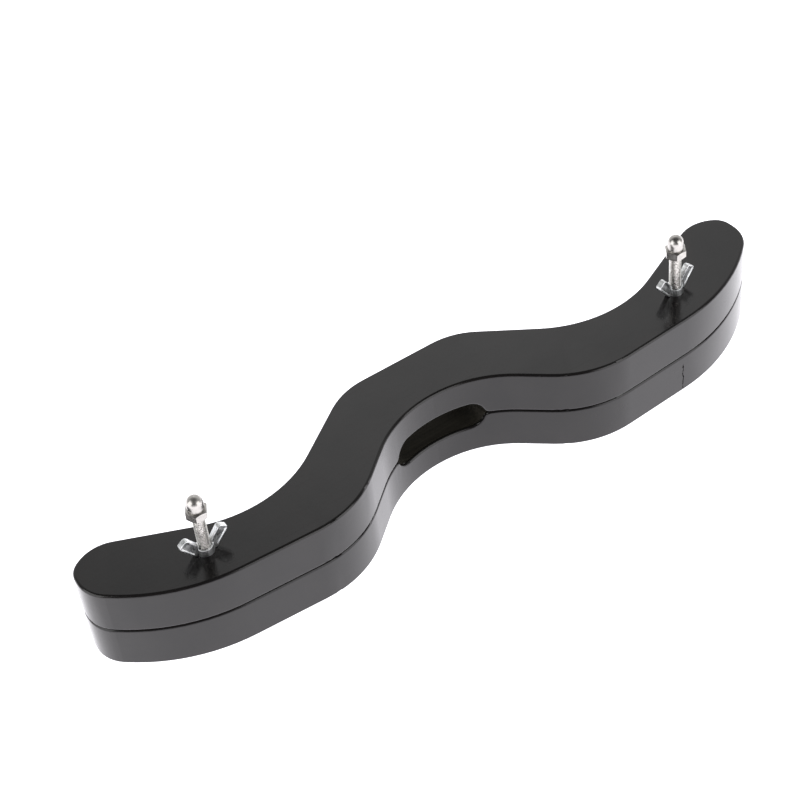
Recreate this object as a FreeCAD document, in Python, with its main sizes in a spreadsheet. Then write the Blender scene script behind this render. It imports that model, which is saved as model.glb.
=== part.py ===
"""Two-board clamp: a pair of wave-shaped wooden boards held face to face by two M5 studs with wing nuts.

Frame, in millimetres: the boards lie flat on Z = 0, X runs along them, the plan is symmetric about X = 0,
and the front, where the middle slot is narrowest, faces -Y. The boards meet in the seam plane.
"""
import FreeCAD, Part
import math
import os
import Sketcher

V = FreeCAD.Vector
NEAR = 1e-4

# Plan outline of both boards: the corners of half of it, from the middle of the back to the middle of the
# front, each rounded by its own radius. The other half is its mirror image.
OUTLINE = {
    "shoulder": (27.3, 28.8, 32),
    "valley": (81.9, -10.3, 53),
    "lobe": (147.7, 20.1, 17),
    "end": (159.5, 12.5, 8.6),
    "tip": (160.6, -1.5, 15),
    "belly": (134.1, -25.1, 80),
    "hip": (57.2, -29.9, 45),
    "arch": (18.7, 2.8, 50.5),
}

# Side view of one wing: its corners, as distance from the thread's axis and height above the nut's base.
WING = {
    "root_low": (2.75, 0.3),
    "heel": (4.6, 0.3),
    "end_low": (10.5, 7.9),
    "end_high": (6.9, 10.9),
    "root_high": (2.75, 5.2),
}

SIZES = {
    "board_thickness": 20.25,
    "face_round": 1.2,
    "seam_round": 1.2,
    "slot_width": 43,
    "slot_height": 13,
    "slot_end_round": 3,
    "stud_x": 113.5,
    "stud_y": -10.7,
    "tight_hole": 5.2,
    "sliding_hole": 5.6,
    "recess_diameter": 12,
    "recess_depth": 5.5,
    "thread_diameter": 5,
    "nut_bore": 5.1,
    "hex_flats": 8,
    "bolt_length": 60,
    "bolt_head": 3.5,
    "bolt_point": 0.6,
    "washer_diameter": 10,
    "washer_bore": 5.3,
    "washer_thickness": 1,
    "cap_nut_base": 60.5,
    "cap_nut_hex": 3.7,
    "cap_nut_height": 10,
    "cap_nut_dome": 6.6,
    "cap_nut_depth": 7.5,
    "hub_height": 3.5,
    "hub_base": 7.2,
    "hub_top": 6.8,
    "wing_thickness": 2.4,
    "wing_end_round": 1.2,
    "left_wing_angle": -3,
    "right_wing_angle": 7,
}

doc = FreeCAD.newDocument("clamp")
sheet = doc.addObject("Spreadsheet::Sheet", "Sizes")


def fill_sheet():
    """One row per size: its name beside the cell that holds the plain number."""
    cells = dict(SIZES)
    for corner, (x, y, radius) in OUTLINE.items():
        cells.update({f"{corner}_x": x, f"{corner}_y": y, f"{corner}_round": radius})
    for corner, (x, z) in WING.items():
        cells.update({f"{corner}_x": x, f"{corner}_z": z})
    for row, (name, number) in enumerate(cells.items(), 1):
        sheet.set(f"A{row}", name)
        sheet.set(f"B{row}", str(number))
        sheet.setAlias(f"B{row}", name)
    doc.recompute()


def size(name):
    return float(sheet.get(name))


def bind(thing, **expressions):
    """Binds properties of an object to the sheet; a double underscore stands for the dot in a path."""
    for path, expression in expressions.items():
        thing.setExpression(path.replace("__", "."), expression)


def new_body(label):
    body = doc.addObject("PartDesign::Body", label)
    body.Label = label
    return body


def new_sketch(body, name, role):
    plane = next(part for part in body.Origin.OriginFeatures if part.Role == role)
    sketch = body.newObject("Sketcher::SketchObject", f"{body.Label}_{name}")
    sketch.AttachmentSupport = [(plane, "")]
    sketch.MapMode = "FlatFace"
    return sketch


def bound_constraint(sketch, kind, *places, expression, value):
    """Adds a dimension to a sketch and binds it to an expression."""
    number = sketch.addConstraint(Sketcher.Constraint(kind, *places, value))
    sketch.setExpression(f"Constraints[{number}]", expression)


def fix_point(sketch, line, first, second):
    """Places a line's start by its two distances from the sketch's origin."""
    for kind, name in (("DistanceX", first), ("DistanceY", second)):
        bound_constraint(sketch, kind, -1, 1, line, 1, expression=f"Sizes.{name}", value=size(name))


def closed_loop(sketch, points):
    """Straight lines through the points and back to the first, joined end to start."""
    ends = points[1:] + points[:1]
    lines = [sketch.addGeometry(Part.LineSegment(V(*a), V(*b))) for a, b in zip(points, ends)]
    for line, following in zip(lines, lines[1:] + lines[:1]):
        sketch.addConstraint(Sketcher.Constraint("Coincident", line, 2, following, 1))
    return lines


def mirror_points(sketch, lines, twins):
    """Makes each twin's start the mirror image of the line's start, across the sketch's vertical axis."""
    for line, twin in zip(lines, twins):
        sketch.addConstraint(Sketcher.Constraint("Symmetric", line, 1, twin, 1, -2))


def circle_pair(sketch, x, y, diameter):
    """Two equal circles, mirrored across the sketch's vertical axis."""
    radius = size(diameter) / 2
    centres = (V(size(x), size(y)), V(-size(x), size(y)))
    right, left = [sketch.addGeometry(Part.Circle(centre, V(0, 0, 1), radius)) for centre in centres]
    for kind, name in (("DistanceX", x), ("DistanceY", y)):
        bound_constraint(sketch, kind, -1, 1, right, 3, expression=f"Sizes.{name}", value=size(name))
    sketch.addConstraint(Sketcher.Constraint("Symmetric", right, 3, left, 3, -2))
    sketch.addConstraint(Sketcher.Constraint("Equal", right, left))
    bound_constraint(sketch, "Diameter", right, expression=f"Sizes.{diameter}", value=size(diameter))


def slot_shape(sketch):
    """A slot with round ends, centred on the sketch's origin."""
    radius = size("slot_height") / 2
    reach = size("slot_width") / 2 - radius
    top = sketch.addGeometry(Part.LineSegment(V(-reach, radius), V(reach, radius)))
    bottom = sketch.addGeometry(Part.LineSegment(V(-reach, -radius), V(reach, -radius)))
    ends = [(V(reach, 0), -math.pi / 2, math.pi / 2), (V(-reach, 0), math.pi / 2, 3 * math.pi / 2)]
    right, left = [
        sketch.addGeometry(Part.ArcOfCircle(Part.Circle(centre, V(0, 0, 1), radius), start, end))
        for centre, start, end in ends
    ]
    joins = ((top, 2, right, 2), (bottom, 2, right, 1), (top, 1, left, 1), (bottom, 1, left, 2))
    for line, end, arc, arc_end in joins:
        sketch.addConstraint(Sketcher.Constraint("Tangent", line, end, arc, arc_end))
    sketch.addConstraint(Sketcher.Constraint("Symmetric", right, 3, left, 3, -1, 1))
    sketch.addConstraint(Sketcher.Constraint("Horizontal", top))
    bound_constraint(sketch, "Radius", right, expression="Sizes.slot_height / 2", value=radius)
    spacing = "Sizes.slot_width - Sizes.slot_height"
    bound_constraint(sketch, "DistanceX", left, 3, right, 3, expression=spacing, value=2 * reach)


def dress(body, kind, name, picked, **expressions):
    """Adds a fillet or chamfer to the picked edges or faces of the body's last feature."""
    feature = body.newObject(f"PartDesign::{kind}", f"{body.Label}_{name}")
    feature.Base = picked
    bind(feature, **expressions)
    body.Tip = feature
    doc.recompute()
    return feature


def edges_where(feature, test):
    """The names of a feature's edges whose bounding boxes pass the test."""
    edges = enumerate(feature.Shape.Edges, 1)
    return feature, [f"Edge{number}" for number, edge in edges if test(edge.BoundBox)]


def upright_edges(feature, x, y):
    """The names of the two upright edges at a corner of the outline and at its mirror image."""

    def at_corner(box):
        upright = box.XLength < NEAR and box.YLength < NEAR
        return upright and abs(abs(box.Center.x) - x) < NEAR and abs(box.Center.y - y) < NEAR

    return edges_where(feature, at_corner)


def slot_ends(feature):
    """The names of the straight edges where the slot's ends meet the seam plane."""

    def at_end(box):
        inside = abs(box.Center.x) < size("slot_width") / 2 + NEAR
        return inside and box.XLength < NEAR and abs(box.Center.z) < NEAR

    return edges_where(feature, at_end)


def seam_edges(feature):
    """The names of the edges around the seam plane, which also run round the slot's two mouths."""

    def on_seam(box):
        return abs(box.Center.z) < NEAR and box.ZLength < NEAR and box.YLength > NEAR

    return edges_where(feature, on_seam)


def flat_face(feature, level):
    """The name of a feature's level face at this height."""
    for number, face in enumerate(feature.Shape.Faces, 1):
        box = face.BoundBox
        if box.ZLength < NEAR and abs(box.ZMin - level) < NEAR:
            return feature, [f"Face{number}"]
    raise ValueError(f"{feature.Label} has no face at {level}")


def pocket(body, sketch, name, bound=None, **settings):
    """Cuts a sketch out of the body, and stops if nothing was cut."""
    before = body.Shape.Volume
    cut = body.newObject("PartDesign::Pocket", f"{body.Label}_{name}")
    cut.Profile = sketch
    for key, value in settings.items():
        setattr(cut, key, value)
    bind(cut, **(bound or {}))
    body.Tip = cut
    doc.recompute()
    if body.Shape.Volume > before - NEAR:
        raise ValueError(f"{cut.Label} removed nothing")
    return cut


def board(label, upward):
    """One board, drawn from the seam plane, upward or downward."""
    body = new_body(label)
    bind(body, Placement__Base__z="Sizes.board_thickness")
    outline = new_sketch(body, "outline", "XY_Plane")
    half = [(x, y) for x, y, _ in OUTLINE.values()]
    lines = closed_loop(outline, half + [(-x, y) for x, y in reversed(half)])
    rights, lefts = lines[: len(half)], lines[len(half) :]
    for line, corner in zip(rights, OUTLINE):
        fix_point(outline, line, f"{corner}_x", f"{corner}_y")
    mirror_points(outline, rights, reversed(lefts))
    pad = body.newObject("PartDesign::Pad", f"{label}_pad")
    pad.Profile = outline
    pad.Reversed = not upward
    bind(pad, Length="Sizes.board_thickness")
    doc.recompute()

    feature = pad
    for corner in OUTLINE:
        picked = upright_edges(feature, size(f"{corner}_x"), size(f"{corner}_y"))
        feature = dress(body, "Fillet", f"{corner}_round", picked, Radius=f"Sizes.{corner}_round")
    slot = new_sketch(body, "slot", "XZ_Plane")
    slot_shape(slot)
    cut = pocket(body, slot, "slot_cut", Type="ThroughAll", Midplane=True)
    feature = dress(body, "Fillet", "slot_ends", slot_ends(cut), Radius="Sizes.slot_end_round")
    outer_level = size("board_thickness") * (1 if upward else -1)
    feature = dress(body, "Fillet", "face_round", flat_face(feature, outer_level), Radius="Sizes.face_round")
    dress(body, "Fillet", "seam_round", seam_edges(feature), Radius="Sizes.seam_round")

    holes = new_sketch(body, "holes", "XY_Plane")
    circle_pair(holes, "stud_x", "stud_y", "sliding_hole" if upward else "tight_hole")
    pocket(body, holes, "hole_cut", Type="ThroughAll", Midplane=True)
    if not upward:
        recesses = new_sketch(body, "recesses", "XY_Plane")
        bind(recesses, AttachmentOffset__Base__z="-Sizes.board_thickness")
        circle_pair(recesses, "stud_x", "stud_y", "recess_diameter")
        pocket(body, recesses, "recess_cut", bound={"Length": "Sizes.recess_depth"}, Reversed=True)
    return body


def primitive(kind, label, **expressions):
    thing = doc.addObject(f"Part::{kind}", label)
    bind(thing, **expressions)
    return thing


def combine(kind, label, base, tool):
    """A Part::Cut or Part::Common of two objects."""
    result = doc.addObject(f"Part::{kind}", label)
    result.Base = base
    result.Tool = tool
    return result


def fuse(label, things):
    result = doc.addObject("Part::MultiFuse", label)
    result.Shapes = things
    result.Refine = True
    return result


def hexagon(label, height, both_ends):
    """A hexagonal prism with its corners turned down at 30 degrees, at the base or at both ends."""
    prism = primitive("Prism", f"{label}_prism", Circumradius="Sizes.hex_flats / sqrt(3)", Height=height)
    prism.Polygon = 6
    face_radius = "Sizes.hex_flats * 0.48"
    flare = f"{face_radius} + ({height}) / tan(30)"
    cone = primitive("Cone", f"{label}_cone", Radius1=face_radius, Radius2=flare, Height=height)
    result = combine("Common", f"{label}_hex", prism, cone)
    if both_ends:
        cone = primitive("Cone", f"{label}_top_cone", Radius1=flare, Radius2=face_radius, Height=height)
        result = combine("Common", f"{label}_hex_both", result, cone)
    return result


def put_on_stud(thing, side, height):
    """Stands a piece on the left or right stud's axis, its base at this height."""
    bind(
        thing,
        Placement__Base__x=f"{side} * Sizes.stud_x",
        Placement__Base__y="Sizes.stud_y",
        Placement__Base__z=height,
    )


def bolt(label, side):
    """Fully threaded hexagon-head bolt, at its thread's outer diameter, with a chamfered point."""
    head = hexagon(label, "Sizes.bolt_head", both_ends=False)
    shank = primitive(
        "Cylinder",
        f"{label}_shank",
        Radius="Sizes.thread_diameter / 2",
        Height="Sizes.bolt_length - Sizes.bolt_point",
        Placement__Base__z="Sizes.bolt_head",
    )
    point = primitive(
        "Cone",
        f"{label}_point",
        Radius1="Sizes.thread_diameter / 2",
        Radius2="Sizes.thread_diameter / 2 - Sizes.bolt_point",
        Height="Sizes.bolt_point",
        Placement__Base__z="Sizes.bolt_head + Sizes.bolt_length - Sizes.bolt_point",
    )
    whole = fuse(label, [head, shank, point])
    put_on_stud(whole, side, "Sizes.recess_depth - Sizes.washer_thickness - Sizes.bolt_head")
    return whole


def washer(label, side):
    """Flat washer between the bolt's head and the floor of the recess."""
    height = "Sizes.washer_thickness"
    disc = primitive("Cylinder", f"{label}_disc", Radius="Sizes.washer_diameter / 2", Height=height)
    bore = primitive("Cylinder", f"{label}_bore", Radius="Sizes.washer_bore / 2", Height=height)
    whole = combine("Cut", label, disc, bore)
    put_on_stud(whole, side, "Sizes.recess_depth - Sizes.washer_thickness")
    return whole


def cap_nut(label, side):
    """Domed cap nut: a hexagon, a round neck and a half ball, with a blind hole."""
    lower = hexagon(label, "Sizes.cap_nut_hex", both_ends=True)
    radius = "Sizes.cap_nut_dome / 2"
    neck_height = f"Sizes.cap_nut_height - {radius}"
    neck = primitive("Cylinder", f"{label}_neck", Radius=radius, Height=neck_height)
    ball = primitive("Sphere", f"{label}_ball", Radius=radius, Placement__Base__z=neck_height)
    bore = primitive("Cylinder", f"{label}_bore", Radius="Sizes.nut_bore / 2", Height="Sizes.cap_nut_depth")
    whole = combine("Cut", label, fuse(f"{label}_outside", [lower, neck, ball]), bore)
    put_on_stud(whole, side, "Sizes.cap_nut_base")
    return whole


def wing_nut(label, side, angle):
    """Wing nut: a tapered hub with two flat wings that rise outward, and a hole at the thread's size."""
    body = new_body(label)
    hub = new_sketch(body, "hub", "XZ_Plane")
    section = [("nut_bore", 0), ("hub_base", 0), ("hub_top", "hub_height"), ("nut_bore", "hub_height")]
    lines = closed_loop(hub, [(size(across) / 2, size(up) if up else 0) for across, up in section])
    for line in (lines[0], lines[2]):
        hub.addConstraint(Sketcher.Constraint("Horizontal", line))
    hub.addConstraint(Sketcher.Constraint("Vertical", lines[3]))
    hub.addConstraint(Sketcher.Constraint("PointOnObject", lines[0], 1, -1))
    for line, (across, _) in list(zip(lines, section))[:3]:
        expression = f"Sizes.{across} / 2"
        bound_constraint(hub, "DistanceX", -1, 1, line, 1, expression=expression, value=size(across) / 2)
    height = size("hub_height")
    bound_constraint(hub, "DistanceY", -1, 1, lines[2], 1, expression="Sizes.hub_height", value=height)
    turned = body.newObject("PartDesign::Revolution", f"{label}_turned")
    turned.Profile = hub
    turned.ReferenceAxis = (hub, ["V_Axis"])
    turned.Angle = 360
    body.Tip = turned
    doc.recompute()

    wings = new_sketch(body, "wings", "XZ_Plane")
    rights = closed_loop(wings, list(WING.values()))
    lefts = closed_loop(wings, [(-x, z) for x, z in WING.values()])
    for line, corner in zip(rights, WING):
        fix_point(wings, line, f"{corner}_x", f"{corner}_z")
    mirror_points(wings, rights, lefts)
    pad = body.newObject("PartDesign::Pad", f"{label}_wings_pad")
    pad.Profile = wings
    pad.Midplane = True
    bind(pad, Length="Sizes.wing_thickness")
    body.Tip = pad
    doc.recompute()
    end = size("heel_x") + NEAR
    dress(
        body,
        "Fillet",
        "wing_ends",
        edges_where(pad, lambda box: box.XLength < NEAR and abs(box.Center.x) > end),
        Radius="Sizes.wing_end_round",
    )
    bind(body, Placement__Rotation__Angle=f"Sizes.{angle}")
    body.Placement.Rotation = FreeCAD.Rotation(V(0, 0, 1), size(angle))
    put_on_stud(body, side, "2 * Sizes.board_thickness")
    return body


def failures(things):
    """The objects that failed to compute, and the sub-parts whose shape isn't one valid solid."""
    broken = {"Invalid", "Error"}
    bad = [f"{thing.Label}: {thing.State}" for thing in doc.Objects if broken & set(thing.State)]
    for thing in things:
        shape = thing.Shape
        if shape.isNull() or not shape.isValid() or len(shape.Solids) != 1:
            bad.append(f"{thing.Label}: shape is not one valid solid")
    return bad


def main():
    fill_sheet()
    pieces = [board("lower_board", upward=False), board("upper_board", upward=True)]
    for name, side in (("left", -1), ("right", 1)):
        pieces += [
            bolt(f"{name}_bolt", side),
            washer(f"{name}_washer", side),
            cap_nut(f"{name}_cap_nut", side),
            wing_nut(f"{name}_wing_nut", side, f"{name}_wing_angle"),
        ]
    doc.recompute()
    bad = failures(pieces)
    if bad:
        raise ValueError("; ".join(bad))
    os.makedirs("parts", exist_ok=True)
    for piece in pieces:
        box = piece.Shape.optimalBoundingBox(False)
        lengths = " x ".join(f"{length:.2f}" for length in (box.XLength, box.YLength, box.ZLength))
        print(f"{piece.Label}: {lengths} mm, {piece.Shape.Volume:.0f} mm3")
        piece.Shape.exportStep(f"parts/{piece.Label}.step")


main()
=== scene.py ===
"""Looks of the two-board clamp: black lacquered boards, threaded bolts, domed nuts and wing nuts on a table.

Every place is in metres in the part's own frame: Z up, X along the boards, the front facing -Y.
"""

import math

import bmesh
import bpy
from mathutils import Matrix, Vector


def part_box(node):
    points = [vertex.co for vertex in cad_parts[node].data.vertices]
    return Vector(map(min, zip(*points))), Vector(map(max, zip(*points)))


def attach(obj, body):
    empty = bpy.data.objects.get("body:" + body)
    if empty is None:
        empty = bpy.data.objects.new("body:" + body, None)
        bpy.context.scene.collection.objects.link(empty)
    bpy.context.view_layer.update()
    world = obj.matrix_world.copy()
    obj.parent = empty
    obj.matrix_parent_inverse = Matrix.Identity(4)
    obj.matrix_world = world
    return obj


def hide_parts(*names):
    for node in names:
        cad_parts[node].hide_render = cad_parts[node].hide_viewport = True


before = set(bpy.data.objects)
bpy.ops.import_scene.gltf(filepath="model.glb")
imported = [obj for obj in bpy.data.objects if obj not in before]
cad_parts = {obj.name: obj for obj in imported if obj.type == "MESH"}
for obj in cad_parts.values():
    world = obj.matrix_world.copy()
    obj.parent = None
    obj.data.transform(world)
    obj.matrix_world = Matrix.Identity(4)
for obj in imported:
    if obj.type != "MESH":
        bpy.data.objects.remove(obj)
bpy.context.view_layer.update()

MM = 0.001
SIDES = ("left", "right")

# Camera: the way it looks, the point it aims at and how far it stands from it.
AZIMUTH = math.radians(-29.21)
ELEVATION = math.radians(44.79)
ROLL = math.radians(7.01)
AIM = Vector((-0.00653, 0.01823, 0.030))
DISTANCE = 0.79385
LENS = 87.67
SENSOR = 36

# Two big softboxes, left and front right of the camera: direction, distance, width and power.
SOFTBOXES = {
    "softbox_left": ((-0.90, 0.03, 0.40), 1.5, 1.25, 13),
    "softbox_front": ((0.43, -0.87, 0.34), 1.5, 1.25, 13),
}

# Studio walls: overall strength, the way to the wall behind the object, and the brightest patch of that wall.
FAR_WALL = (0.56, 0.82, 0.0)
WORLD_STRENGTH = 1.0
PATCH_STRENGTH = 0.75
BRIGHT_PATCH = (0.36, 0.62, 0.70)

# White table: its own glow, half its width, and how far it lies under the object.
TABLE_GLOW = 1.85
TABLE_REACH = 3.0
TABLE_GAP = 0.05 * MM

# M5 thread: 0.8 mm pitch, cut to the standard's depth.
PITCH = 0.8 * MM
THREAD_DEPTH = 0.49 * MM
THREAD_STEPS = 36
CREST_WEAR = 0.03 * MM
# Near-black colour painted into the threads' roots as shade.
ROOT_SHADE = (0.03, 0.028, 0.025, 1)
THREAD_RADIUS = 2.5 * MM
POINT = 0.6 * MM

# Bolt heads: the rim circle as a share of the width across flats, and how far the thread runs into the head.
HEAD_HEIGHT = 3.5 * MM
HEAD_CHAMFER = 0.4 * MM
RIM_SHARE = 0.475
THREAD_SINK = 0.2 * MM

WASHER_BORE_RADIUS = 2.65 * MM
WASHER_EDGE = 0.2 * MM
WASHER_STEPS = 96

# Boards: the body that each rides on, and how near two points of the CAD's facets are joined into one.
BOARD_BODY = {"upper_board": "upper_board", "lower_board": "lower_assembly"}
FACET_JOIN = 0.02 * MM

# Wing nuts: turn of each about its bolt, the wing's outline as distance from the axis and height above the
# base, and the shallow panel that is pressed into both faces of a wing.
WING_TURNS = {"left": math.radians(-3), "right": math.radians(7)}
WING_OUTLINE = [(4.0, 0.3), (4.6, 0.3), (10.5, 7.9), (6.9, 10.9), (4.0, 6.9)]
WING_HALF = 1.2 * MM
PANEL_DEPTH = 0.3 * MM
PANEL_RIM = (0.55 * MM, 1.05 * MM)
WING_CELL = 0.13 * MM
WING_SMOOTHING = 4

# Lacquer: how strongly it mirrors, and the strength and height of its relief.
LACQUER_IOR = 1.4
LACQUER_BUMP = 0.10
LACQUER_RELIEF = 0.2 * MM

# Crack in the lacquer on the front of the lower board.
CRACK_X = 105.1 * MM
CRACK_Z = 8.0 * MM
CRACK_HALF_LENGTH = 7.6 * MM
CRACK_HALF_WIDTH = 0.2 * MM
CRACK_SWAY = 1.2 * MM
CRACK_BEHIND_Y = -20 * MM

# Unpolished inside of the slot: the centre and radius of the hollow front, the margin that stays polished
# at both mouths, and the height of the seam.
FRONT_CENTRE_Y = -47.7 * MM
FRONT_RADIUS = 50.5 * MM
BACK_Y = 28.8 * MM
MOUTH_MARGIN = 1.3 * MM
SEAM_Z = 20.25 * MM
SLOT_HALF_HEIGHT = 7.6 * MM
SLOT_HALF_WIDTH = 26 * MM


# ---------------------------------------------------------------- camera, lights and table


def add_to_scene(name, data):
    thing = bpy.data.objects.new(name, data)
    bpy.context.scene.collection.objects.link(thing)
    return thing


def add_camera():
    data = bpy.data.cameras.new("camera")
    data.lens = LENS
    data.sensor_width = SENSOR
    camera = add_to_scene("camera", data)
    turned = Matrix.Rotation(AZIMUTH, 4, "Z") @ Matrix.Rotation(math.pi / 2 - ELEVATION, 4, "X")
    turned = turned @ Matrix.Rotation(-ROLL, 4, "Z")
    back = turned.to_3x3() @ Vector((0, 0, 1))
    camera.matrix_world = Matrix.Translation(AIM + back * DISTANCE) @ turned
    bpy.context.scene.camera = camera


def add_softbox(name, towards, distance, width, power):
    """A square area light that faces the object from the given direction."""
    data = bpy.data.lights.new(name, "AREA")
    data.shape = "SQUARE"
    data.size = width
    data.energy = power
    direction = Vector(towards).normalized()
    facing = direction.to_track_quat("Z", "Y").to_matrix().to_4x4()
    add_to_scene(name, data).matrix_world = Matrix.Translation(direction * distance) @ facing


def add_node(tree, kind, inputs=None, **settings):
    """A shader node with its properties set, and its inputs set or linked."""
    node = tree.nodes.new(f"ShaderNode{kind}")
    for key, value in settings.items():
        setattr(node, key, value)
    for key, value in (inputs or {}).items():
        if isinstance(value, bpy.types.NodeSocket):
            tree.links.new(value, node.inputs[key])
        else:
            node.inputs[key].default_value = value
    return node


def add_ramp(tree, value, *stops):
    """A colour ramp; each stop is a position and a grey level or a colour."""
    ramp = add_node(tree, "ValToRGB", {"Fac": value})
    elements = ramp.color_ramp.elements
    for number, (position, colour) in enumerate(stops):
        element = elements[number] if number < 2 else elements.new(position)
        element.position = position
        element.color = (*colour, 1) if isinstance(colour, tuple) else (colour, colour, colour, 1)
    return ramp.outputs["Color"]


def math_node(tree, operation, *values, clamp=False):
    node = tree.nodes.new("ShaderNodeMath")
    node.operation = operation
    node.use_clamp = clamp
    for number, value in enumerate(values):
        if isinstance(value, bpy.types.NodeSocket):
            tree.links.new(value, node.inputs[number])
        else:
            node.inputs[number].default_value = value
    return node.outputs[0]


def blend(tree, share, first, second):
    """Mixes two colours by a share from zero to one."""
    mix = add_node(tree, "MixRGB", {"Fac": share, "Color1": first, "Color2": second})
    return mix.outputs["Color"]


def add_world():
    """Studio: white near the horizon, dim ceiling, brighter wall behind the object than behind the camera."""
    world = bpy.data.worlds.new("studio")
    world.use_nodes = True
    tree = world.node_tree
    tree.nodes.clear()
    way = add_node(tree, "TexCoord").outputs["Generated"]
    height = add_node(tree, "SeparateXYZ", {"Vector": way}).outputs["Z"]
    backward = add_node(tree, "VectorMath", {0: way, 1: FAR_WALL}, operation="DOT_PRODUCT")
    behind = add_ramp(tree, height, (0.0, 1.0), (0.35, 1.0), (0.72, 0.9), (0.9, 0.3))
    before = add_ramp(tree, height, (0.0, 0.35), (0.1, 0.12), (0.4, 0.06), (1.0, 0.10))
    share = add_ramp(tree, backward.outputs["Value"], (0.0, 0.0), (0.6, 1.0))
    wall = blend(tree, share, before, behind)
    patch = add_node(tree, "VectorMath", {0: way, 1: BRIGHT_PATCH}, operation="DOT_PRODUCT")
    glow = add_ramp(tree, patch.outputs["Value"], (0.86, 0.0), (0.984, 0.30), (1.0, 1.0))
    strength = math_node(tree, "ADD", WORLD_STRENGTH, math_node(tree, "MULTIPLY", glow, PATCH_STRENGTH))
    background = add_node(tree, "Background", {"Color": wall, "Strength": strength})
    add_node(tree, "OutputWorld", {"Surface": background.outputs["Background"]})
    bpy.context.scene.world = world


def new_material(name):
    material = bpy.data.materials.new(name)
    material.use_nodes = True
    tree = material.node_tree
    tree.nodes.clear()
    shader = add_node(tree, "BsdfPrincipled")
    add_node(tree, "OutputMaterial", {"Surface": shader.outputs["BSDF"]})
    return material, tree, shader


def add_table():
    """Large white table top just under the object, clear when seen from below so that the underside shows."""
    mesh = bpy.data.meshes.new("table")
    corners = [(-1, -1), (1, -1), (1, 1), (-1, 1)]
    places = [(x * TABLE_REACH, y * TABLE_REACH, -TABLE_GAP) for x, y in corners]
    mesh.from_pydata(places, [], [(0, 1, 2, 3)])
    material, tree, shader = new_material("table_white")
    shader.inputs["Base Color"].default_value = (0.6, 0.6, 0.6, 1)
    shader.inputs["Roughness"].default_value = 0.9
    shader.inputs["Emission Color"].default_value = (0.97, 0.955, 1, 1)
    shader.inputs["Emission Strength"].default_value = TABLE_GLOW
    clear = add_node(tree, "BsdfTransparent").outputs["BSDF"]
    from_below = add_node(tree, "NewGeometry").outputs["Backfacing"]
    mixed = add_node(tree, "MixShader", {0: from_below, 1: shader.outputs["BSDF"], 2: clear})
    output = next(node for node in tree.nodes if node.bl_idname == "ShaderNodeOutputMaterial")
    tree.links.new(mixed.outputs["Shader"], output.inputs["Surface"])
    mesh.materials.append(material)
    add_to_scene("table", mesh)


# ---------------------------------------------------------------- materials


def noise(tree, place, scale, detail=2.0, **inputs):
    values = {"Vector": place, "Scale": scale, "Detail": detail, **inputs}
    return add_node(tree, "TexNoise", values).outputs["Fac"]


def spread(tree, value, low, high):
    """Stretches a noise value's middle range to run from low to high."""
    limits = {"Value": value, "From Min": 0.3, "From Max": 0.7, "To Min": low, "To Max": high}
    return add_node(tree, "MapRange", limits).outputs["Result"]


def crack_mask(tree, place):
    """One along an uneven, broken upright line on the board's front, and zero elsewhere."""
    parts = add_node(tree, "SeparateXYZ", {"Vector": place}).outputs
    wander = math_node(tree, "SUBTRACT", noise(tree, place, 420.0, 3.0), 0.5)
    sway = math_node(tree, "MULTIPLY", wander, CRACK_SWAY)
    across = math_node(tree, "SUBTRACT", math_node(tree, "ADD", parts["X"], sway), CRACK_X)
    width = spread(tree, noise(tree, place, 900.0), 0.1 * CRACK_HALF_WIDTH, 1.9 * CRACK_HALF_WIDTH)
    line = math_node(tree, "LESS_THAN", math_node(tree, "ABSOLUTE", across), width)
    along = math_node(tree, "ABSOLUTE", math_node(tree, "SUBTRACT", parts["Z"], CRACK_Z))
    inside = math_node(tree, "LESS_THAN", along, CRACK_HALF_LENGTH)
    front = math_node(tree, "LESS_THAN", parts["Y"], CRACK_BEHIND_Y)
    return math_node(tree, "MULTIPLY", math_node(tree, "MULTIPLY", line, inside), front)


def slot_mask(tree, place):
    """One on the slot's inner walls, and zero on the outside of the boards."""
    parts = add_node(tree, "SeparateXYZ", {"Vector": place}).outputs
    away = math_node(tree, "SUBTRACT", parts["Y"], FRONT_CENTRE_Y)
    flat = add_node(tree, "CombineXYZ", {"X": parts["X"], "Y": away})
    reach = add_node(tree, "VectorMath", {0: flat.outputs["Vector"]}, operation="LENGTH").outputs["Value"]
    rise = math_node(tree, "ABSOLUTE", math_node(tree, "SUBTRACT", parts["Z"], SEAM_Z))
    tests = [
        math_node(tree, "GREATER_THAN", reach, FRONT_RADIUS + MOUTH_MARGIN),
        math_node(tree, "LESS_THAN", parts["Y"], BACK_Y - MOUTH_MARGIN),
        math_node(tree, "LESS_THAN", rise, SLOT_HALF_HEIGHT),
        math_node(tree, "LESS_THAN", math_node(tree, "ABSOLUTE", parts["X"]), SLOT_HALF_WIDTH),
    ]
    mask = tests[0]
    for test in tests[1:]:
        mask = math_node(tree, "MULTIPLY", mask, test)
    return mask


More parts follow.
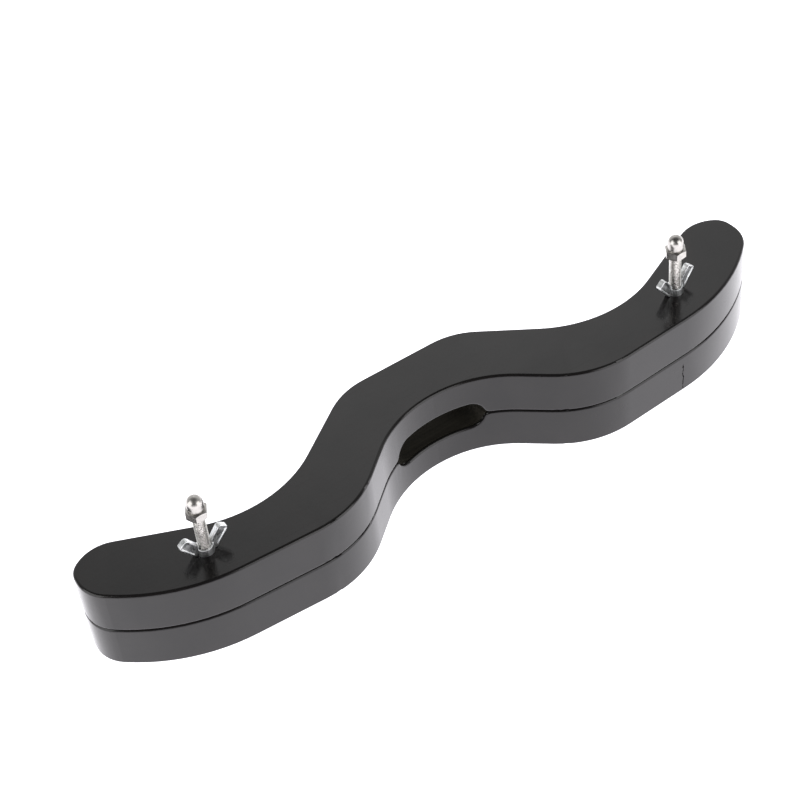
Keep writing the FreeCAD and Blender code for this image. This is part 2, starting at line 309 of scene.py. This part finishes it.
def lacquer(name, cracked):
    """Black lacquer on sanded wood: faint orange peel, dust nibs, rubbed patches and hairline scratches."""
    material, tree, shader = new_material(name)
    place = add_node(tree, "TexCoord").outputs["Object"]
    cloud = noise(tree, place, 55.0, 4.0)
    colour = add_ramp(tree, cloud, (0.3, (0.0060, 0.0054, 0.0056)), (0.7, (0.0105, 0.0092, 0.0090)))
    rubbed = spread(tree, noise(tree, place, 24.0, 5.0, Distortion=0.6), 0.13, 0.21)
    stretched = add_node(tree, "Mapping", {"Vector": place, "Scale": (30.0, 900.0, 900.0)})
    grain = noise(tree, stretched.outputs["Vector"], 1.0, 3.0)
    scratch_place = add_node(
        tree, "Mapping", {"Vector": place, "Rotation": (0.0, 0.0, 0.5), "Scale": (60.0, 2600.0, 600.0)}
    ).outputs["Vector"]
    scratches = add_ramp(tree, noise(tree, scratch_place, 1.0, 1.0), (0.70, 0.0), (0.74, 1.0))
    nibs = add_node(tree, "TexVoronoi", {"Vector": place, "Scale": 160.0}).outputs["Distance"]
    nib = add_ramp(tree, nibs, (0.0, 1.0), (0.07, 0.0))
    roughness = math_node(tree, "ADD", rubbed, math_node(tree, "MULTIPLY", scratches, 0.08))
    peel = noise(tree, place, 420.0, 2.0)
    height = math_node(tree, "MULTIPLY", peel, 0.5)
    height = math_node(tree, "ADD", height, math_node(tree, "MULTIPLY", grain, 0.22))
    height = math_node(tree, "ADD", height, math_node(tree, "MULTIPLY", nib, 0.5))
    height = math_node(tree, "SUBTRACT", height, math_node(tree, "MULTIPLY", scratches, 0.15))
    inner = slot_mask(tree, place)
    unpolished = add_ramp(tree, grain, (0.3, (0.022, 0.020, 0.016)), (0.7, (0.040, 0.036, 0.028)))
    colour = blend(tree, inner, colour, unpolished)
    roughness = math_node(tree, "ADD", roughness, math_node(tree, "MULTIPLY", inner, 0.6))
    polish = math_node(tree, "SUBTRACT", 0.5, math_node(tree, "MULTIPLY", inner, 0.35))
    if cracked:
        crack = crack_mask(tree, place)
        height = math_node(tree, "SUBTRACT", height, math_node(tree, "MULTIPLY", crack, 4.0))
        roughness = math_node(tree, "ADD", roughness, math_node(tree, "MULTIPLY", crack, 0.6), clamp=True)
        colour = blend(tree, crack, colour, (0.002, 0.0018, 0.0015, 1))
        polish = math_node(tree, "SUBTRACT", polish, math_node(tree, "MULTIPLY", crack, 0.5), clamp=True)
    bump = add_node(tree, "Bump", {"Height": height, "Strength": LACQUER_BUMP, "Distance": LACQUER_RELIEF})
    tree.links.new(colour, shader.inputs["Base Color"])
    tree.links.new(roughness, shader.inputs["Roughness"])
    tree.links.new(bump.outputs["Normal"], shader.inputs["Normal"])
    tree.links.new(polish, shader.inputs["Specular IOR Level"])
    shader.inputs["IOR"].default_value = LACQUER_IOR
    return material


def crest_mask(tree, place):
    """One at the threads' crests and all over the bolts' heads, falling to zero at the threads' roots, where
    shade is painted.
    """
    parts = add_node(tree, "SeparateXYZ", {"Vector": place}).outputs
    axis = stud_axis("right")
    across = math_node(tree, "SUBTRACT", math_node(tree, "ABSOLUTE", parts["X"]), axis.x)
    away = math_node(tree, "SUBTRACT", parts["Y"], axis.y)
    flat = add_node(tree, "CombineXYZ", {"X": across, "Y": away})
    radius = add_node(tree, "VectorMath", {0: flat.outputs["Vector"]}, operation="LENGTH").outputs["Value"]
    root = THREAD_RADIUS - 0.9 * THREAD_DEPTH
    flank = THREAD_RADIUS - 0.3 * THREAD_DEPTH
    limits = {"Value": radius, "From Min": root, "From Max": flank}
    crest = add_node(tree, "MapRange", limits).outputs["Result"]
    head_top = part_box("right_bolt")[0].z + HEAD_HEIGHT
    return math_node(tree, "MAXIMUM", crest, math_node(tree, "LESS_THAN", parts["Z"], head_top))


def plate(name, light, dark, gloss, bump_height, grain_scale, root_shaded=False):
    """Plated steel: uneven tone and gloss, fine grain and small stains, and painted shade darkening a
    thread's roots.
    """
    material, tree, shader = new_material(name)
    place = add_node(tree, "TexCoord").outputs["Object"]
    mottle = noise(tree, place, grain_scale, 4.0)
    stains = noise(tree, place, 260.0, 5.0, Distortion=0.8)
    half_mottle = math_node(tree, "MULTIPLY", mottle, 0.5)
    both = math_node(tree, "ADD", half_mottle, math_node(tree, "MULTIPLY", stains, 0.5))
    colour = add_ramp(tree, both, (0.34, dark), (0.56, light))
    if root_shaded:
        # Painted shade: the threads' roots are blended toward a near-black colour.
        colour = blend(tree, crest_mask(tree, place), ROOT_SHADE, colour)
    roughness = spread(tree, stains, *gloss)
    bump = add_node(tree, "Bump", {"Height": mottle, "Strength": 0.5, "Distance": bump_height})
    tree.links.new(colour, shader.inputs["Base Color"])
    tree.links.new(roughness, shader.inputs["Roughness"])
    tree.links.new(bump.outputs["Normal"], shader.inputs["Normal"])
    shader.inputs["Metallic"].default_value = 1.0
    return material


# ---------------------------------------------------------------- fasteners


def own_piece(name, mesh, material, body, node):
    """Makes a mesh a piece that rides on a body and stands for a CAD node."""
    mesh.materials.clear()
    mesh.materials.append(material)
    piece = add_to_scene(name, mesh)
    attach(piece, body)
    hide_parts(node)
    return piece


def add_ring_vert(shape, axis, radius, angle, z):
    return shape.verts.new((axis.x + radius * math.cos(angle), axis.y + radius * math.sin(angle), z))


def mesh_of(name, make):
    """A mesh built by a function that fills a bmesh, with its faces turned outward."""
    mesh = bpy.data.meshes.new(name)
    shape = bmesh.new()
    make(shape)
    bmesh.ops.recalc_face_normals(shape, faces=shape.faces)
    shape.to_mesh(mesh)
    shape.free()
    return mesh


def shade(mesh, degrees):
    """Smooth shading that keeps edges sharper than an angle."""
    mesh.polygons.foreach_set("use_smooth", [True] * len(mesh.polygons))
    mesh.set_sharp_from_angle(angle=math.radians(degrees))


def stud_axis(side):
    low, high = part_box(f"{side}_bolt")
    return (low + high) / 2


def wear(step):
    """How worn the crest is at a step along the thread, from zero to one, uneven but always the same."""
    waves = (math.sin(0.37 * step) + math.sin(0.83 * step + 1.3) + math.sin(1.71 * step + 0.4)) / 3
    return 0.5 + 0.5 * waves


def add_thread(shape, axis, low, high):
    """A right-hand thread between two heights, with a flat bottom and a chamfered point."""
    profile = ((0.0, 1.0), (0.12, 1.0), (0.44, 0.06), (0.5, 0.0), (0.56, 0.0), (0.62, 0.06), (0.94, 1.0))
    turns = math.ceil((high - low) / PITCH) + 2
    rows = []
    for step in range(turns * THREAD_STEPS + 1):
        angle = 2 * math.pi * step / THREAD_STEPS
        row = []
        for along, height in profile:
            z = low - PITCH + PITCH * (step / THREAD_STEPS + along)
            r = THREAD_RADIUS - THREAD_DEPTH * (1 - height) - CREST_WEAR * height * wear(step)
            r = min(r, THREAD_RADIUS - POINT + max(0.0, high - z))
            row.append(add_ring_vert(shape, axis, r, angle, z))
        rows.append(row)
    for step in range(len(rows) - 1 - THREAD_STEPS):
        here, following = rows[step], rows[step + 1]
        next_turn = rows[step + THREAD_STEPS][0], rows[step + 1 + THREAD_STEPS][0]
        for column in range(len(profile)):
            last = column == len(profile) - 1
            upper, upper_following = next_turn if last else (here[column + 1], following[column + 1])
            shape.faces.new((here[column], following[column], upper_following, upper))
    for height, keep_above in ((low, True), (high, False)):
        cut = bmesh.ops.bisect_plane(
            shape,
            geom=shape.verts[:] + shape.edges[:] + shape.faces[:],
            plane_co=(0, 0, height),
            plane_no=(0, 0, 1),
            clear_inner=keep_above,
            clear_outer=not keep_above,
        )
        rim = [item for item in cut["geom_cut"] if isinstance(item, bmesh.types.BMEdge)]
        bmesh.ops.edgeloop_fill(shape, edges=rim)
    loose = [vert for vert in shape.verts if not vert.link_faces]
    bmesh.ops.delete(shape, geom=loose, context="VERTS")


def add_hexagon(shape, axis, low, high, flats, chamfer):
    """A hexagonal prism with both rims turned down."""
    rings = []
    for z, radius in (
        (low, flats * RIM_SHARE),
        (low + chamfer, flats / math.sqrt(3)),
        (high - chamfer, flats / math.sqrt(3)),
        (high, flats * RIM_SHARE),
    ):
        rings.append([add_ring_vert(shape, axis, radius, math.pi / 3 * corner, z) for corner in range(6)])
    for lower, upper in zip(rings, rings[1:]):
        for corner in range(6):
            following = (corner + 1) % 6
            shape.faces.new((lower[corner], lower[following], upper[following], upper[corner]))
    shape.faces.new(rings[0])
    shape.faces.new(rings[-1])


def add_bolt(side, material):
    low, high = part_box(f"{side}_bolt")
    axis = stud_axis(side)
    head_top = low.z + HEAD_HEIGHT

    def make(shape):
        add_thread(shape, axis, head_top - THREAD_SINK, high.z)
        add_hexagon(shape, axis, low.z, head_top, high.y - low.y, HEAD_CHAMFER)

    mesh = mesh_of(f"{side}_threaded_bolt", make)
    shade(mesh, degrees=25)
    own_piece(f"{side}_threaded_bolt", mesh, material, "lower_assembly", f"{side}_bolt")


def add_washer(side, material):
    """Punched washer: rounded over on one side, as the punch leaves it."""
    low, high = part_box(f"{side}_washer")
    axis = stud_axis(side)
    outer, inner = (high.x - low.x) / 2, WASHER_BORE_RADIUS
    edge = WASHER_EDGE
    profile = [
        (inner, low.z + edge),
        (inner + edge, low.z),
        (outer - edge, low.z),
        (outer - edge * 0.3, low.z + edge * 0.3),
        (outer, low.z + edge),
        (outer, high.z - edge * 0.3),
        (outer - edge * 0.3, high.z),
        (inner + edge * 0.3, high.z),
        (inner, high.z - edge * 0.3),
    ]

    def make(shape):
        rings = []
        for step in range(WASHER_STEPS):
            angle = 2 * math.pi * step / WASHER_STEPS
            rings.append([add_ring_vert(shape, axis, r, angle, z) for r, z in profile])
        for here, following in zip(rings, rings[1:] + rings[:1]):
            for row in range(len(profile)):
                after = (row + 1) % len(profile)
                shape.faces.new((here[row], following[row], following[after], here[after]))

    mesh = mesh_of(f"{side}_punched_washer", make)
    shade(mesh, degrees=30)
    own_piece(f"{side}_punched_washer", mesh, material, "lower_assembly", f"{side}_washer")


def depth_inside(x, z, outline):
    """How deep a point lies inside a convex outline, negative outside."""
    depth = math.inf
    for (x0, z0), (x1, z1) in zip(outline, outline[1:] + outline[:1]):
        length = math.hypot(x1 - x0, z1 - z0)
        depth = min(depth, ((x1 - x0) * (z - z0) - (z1 - z0) * (x - x0)) / length)
    return depth


def add_wing_nut(side, material):
    """Cast wing nut: the CAD shape with its edges softened and a shallow panel in both faces of each wing."""
    node = f"{side}_wing_nut"
    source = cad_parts[node]
    soft = bpy.data.objects.new("soft", source.data.copy())
    soft.matrix_world = source.matrix_world
    bpy.context.scene.collection.objects.link(soft)
    remesh = soft.modifiers.new("cells", "REMESH")
    remesh.mode = "VOXEL"
    remesh.voxel_size = WING_CELL
    remesh.use_smooth_shade = True
    smooth = soft.modifiers.new("soften", "SMOOTH")
    smooth.factor = 0.5
    smooth.iterations = WING_SMOOTHING
    mesh = bpy.data.meshes.new_from_object(soft.evaluated_get(bpy.context.evaluated_depsgraph_get()))
    mesh.transform(source.matrix_world)
    bpy.data.objects.remove(soft)

    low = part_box(node)[0]
    axis = stud_axis(side)
    base = Vector((axis.x, axis.y, low.z))
    turn = Matrix.Rotation(WING_TURNS[side], 3, "Z")
    outline = [(x * MM, z * MM) for x, z in WING_OUTLINE]
    for vert in mesh.vertices:
        local = turn.transposed() @ (vert.co - base)
        if abs(local.y) < WING_HALF - PANEL_DEPTH:
            continue
        depth = depth_inside(abs(local.x), local.z, outline)
        share = min(1.0, max(0.0, (depth - PANEL_RIM[0]) / (PANEL_RIM[1] - PANEL_RIM[0])))
        local.y -= math.copysign(PANEL_DEPTH * share * share * (3 - 2 * share), local.y)
        vert.co = turn @ local + base
    mesh.name = f"{side}_cast_wing_nut"
    shade(mesh, degrees=60)
    own_piece(f"{side}_cast_wing_nut", mesh, material, f"{side}_wing_nut", node)


def add_board(node, material):
    """Lacquered board: the CAD shape with its facets joined and shaded evenly."""
    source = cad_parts[node]

    def make(shape):
        shape.from_mesh(source.data)
        shape.transform(source.matrix_world)
        bmesh.ops.remove_doubles(shape, verts=shape.verts, dist=FACET_JOIN)
        bmesh.ops.dissolve_degenerate(shape, edges=shape.edges, dist=FACET_JOIN)

    mesh = mesh_of(f"{node}_lacquered", make)
    if "custom_normal" in mesh.attributes:
        mesh.attributes.remove(mesh.attributes["custom_normal"])
    shade(mesh, degrees=35)
    piece = own_piece(f"{node}_lacquered", mesh, material, BOARD_BODY[node], node)
    weigh = piece.modifiers.new("even_shading", "WEIGHTED_NORMAL")
    weigh.keep_sharp = True


def main():
    bpy.context.scene.view_settings.view_transform = "Standard"
    add_camera()
    add_world()
    add_table()
    for name, (towards, distance, width, power) in SOFTBOXES.items():
        add_softbox(name, towards, distance, width, power)
    coat = lacquer("black_lacquer_coat", cracked=False)
    cracked_coat = lacquer("black_lacquer_cracked", cracked=True)
    bright = plate("bright_nickel", (0.46, 0.445, 0.425), (0.36, 0.35, 0.335), (0.24, 0.36), 0.00002, 1400.0)
    # The rolled bolts' thread roots carry painted shade.
    rolled = plate(
        "rolled_nickel", (0.95, 0.93, 0.90), (0.80, 0.79, 0.77), (0.16, 0.28), 0.00004, 1800.0, root_shaded=True
    )
    zinc = plate("bright_zinc", (0.80, 0.81, 0.81), (0.42, 0.44, 0.44), (0.26, 0.42), 0.00014, 1300.0)
    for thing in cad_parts.values():
        thing.material_slots[0].material = bright
    add_board("upper_board", coat)
    add_board("lower_board", cracked_coat)
    for side in SIDES:
        add_bolt(side, rolled)
        add_washer(side, zinc)
        add_wing_nut(side, zinc)


main()
